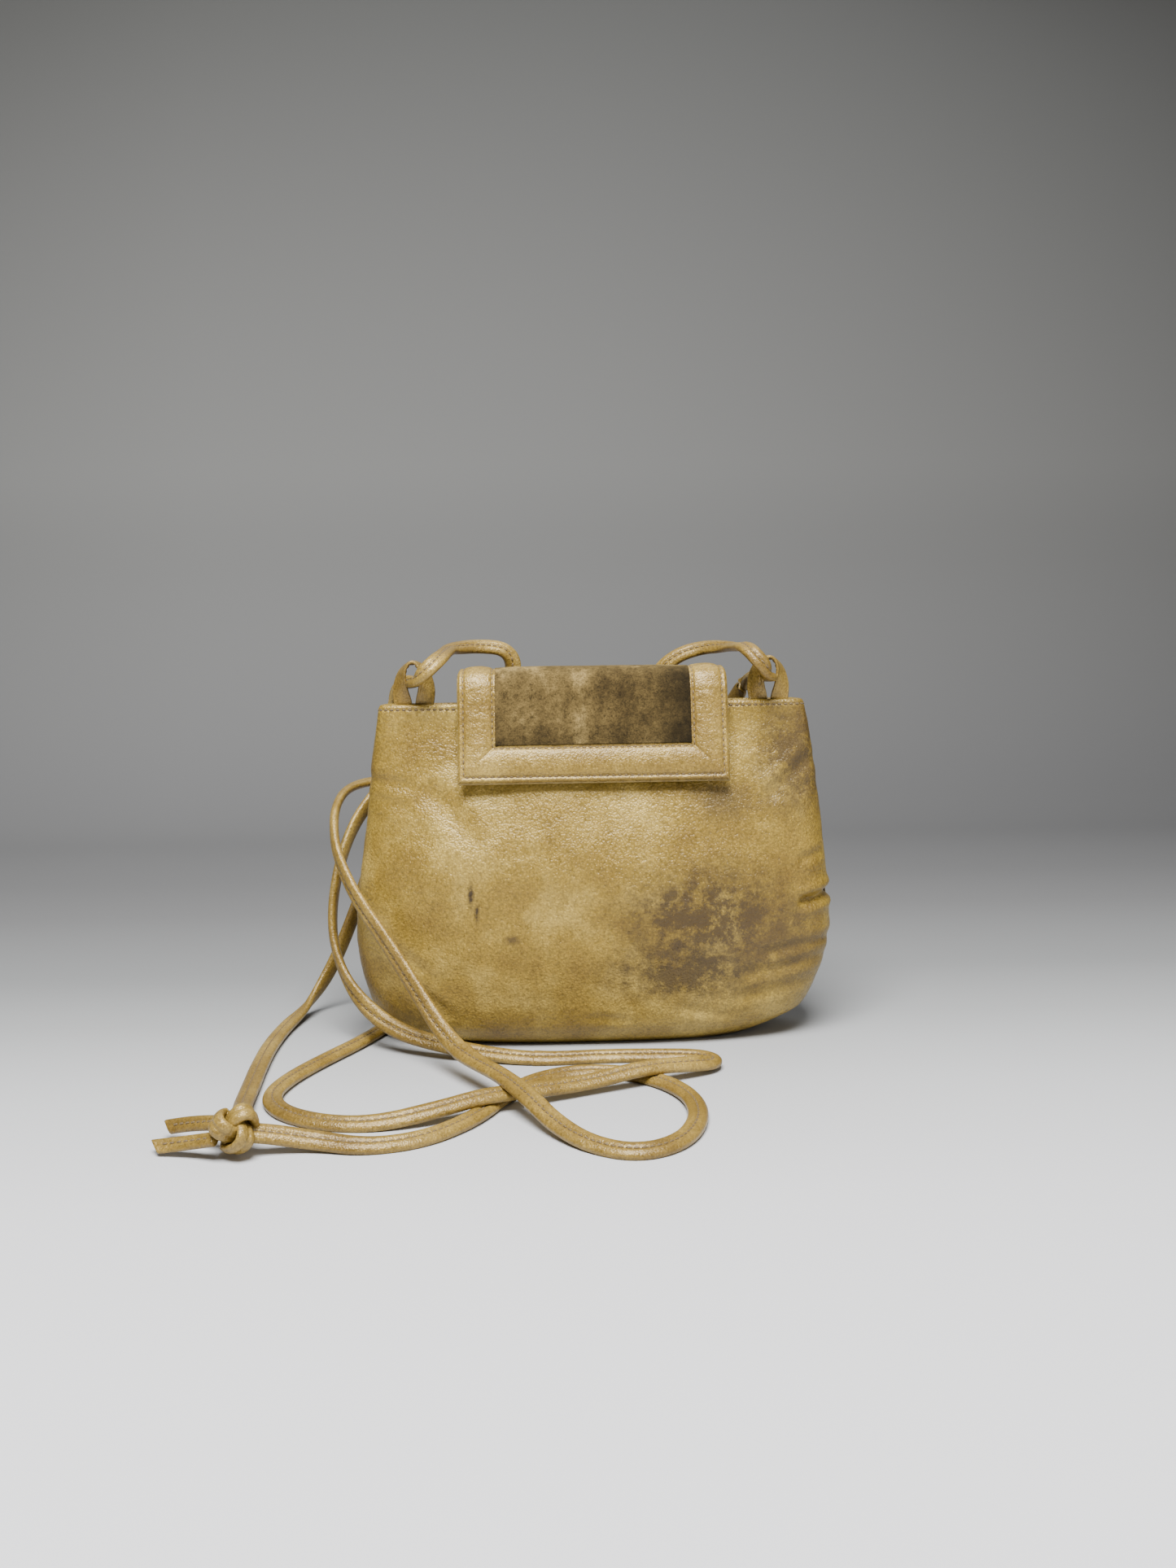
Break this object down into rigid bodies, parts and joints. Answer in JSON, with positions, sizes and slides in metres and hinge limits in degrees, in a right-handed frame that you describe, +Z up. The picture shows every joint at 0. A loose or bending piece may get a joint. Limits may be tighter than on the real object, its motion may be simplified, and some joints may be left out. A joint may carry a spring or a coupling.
{
  "type": "bucket bag",
  "caption": "Soft leather bucket bag with a suede-panelled flap over its mouth and a long narrow strap that runs through rim loops and ends in a knot.",
  "frame": {"origin": "middle of the base on the floor, below the middle of the bag", "axes": "+Z up, +X to the right as seen from the front, the front with the flap's free end faces -Y"},
  "size_m": [0.3064, 0.2538, 0.2055],
  "materials": {
    "champagne_leather": "satin nappa with a soft grain",
    "brown_suede": "worn napped suede",
    "lining_cloth": "matte twill",
    "stiffener_cloth": "matte",
    "foam_core": "matte",
    "base_board": "matte pressed board",
    "snap_brass": "polished"
  },
  "bodies": {
    "pouch": {"back_facing": "champagne_leather", "back_lining": "lining_cloth", "back_panel": "champagne_leather", "back_rim_stiffener": "stiffener_cloth", "base_board": "base_board", "base_lining": "lining_cloth", "base_panel": "champagne_leather", "flap_back_tab": "champagne_leather", "front_facing": "champagne_leather", "front_lining": "lining_cloth", "front_panel": "champagne_leather", "front_rim_stiffener": "stiffener_cloth", "inner_pocket": "lining_cloth", "loop_left": "champagne_leather", "loop_right": "champagne_leather", "snap_socket": "snap_brass", "snap_socket_washer": "snap_brass", "strap_knot": "champagne_leather", "strap_left_run": "champagne_leather", "strap_middle": "champagne_leather", "strap_right_run": "champagne_leather", "strap_tail_lower": "champagne_leather", "strap_tail_upper": "champagne_leather"},
    "flap_top": {"flap_top_border_left": "champagne_leather", "flap_top_border_right": "champagne_leather", "flap_top_core": "foam_core", "flap_top_lining": "champagne_leather", "flap_top_suede": "brown_suede"},
    "flap_front": {"flap_front_border": "champagne_leather", "flap_front_core": "foam_core", "flap_front_lining": "champagne_leather", "flap_front_suede": "brown_suede", "snap_stud": "snap_brass", "snap_stud_washer": "snap_brass"}
  },
  "joints": [
    {"name": "flap_lift", "type": "hinge", "parent": "pouch", "child": "flap_top", "pos_m": [0, 0.0184, 0.1744], "axis": [-1, 0, 0], "range_deg": [0, 60]},
    {"name": "flap_fold", "type": "hinge", "parent": "flap_top", "child": "flap_front", "pos_m": [0, -0.02345, 0.172], "axis": [-1, 0, 0], "range_deg": [0, 110]}
  ]
}
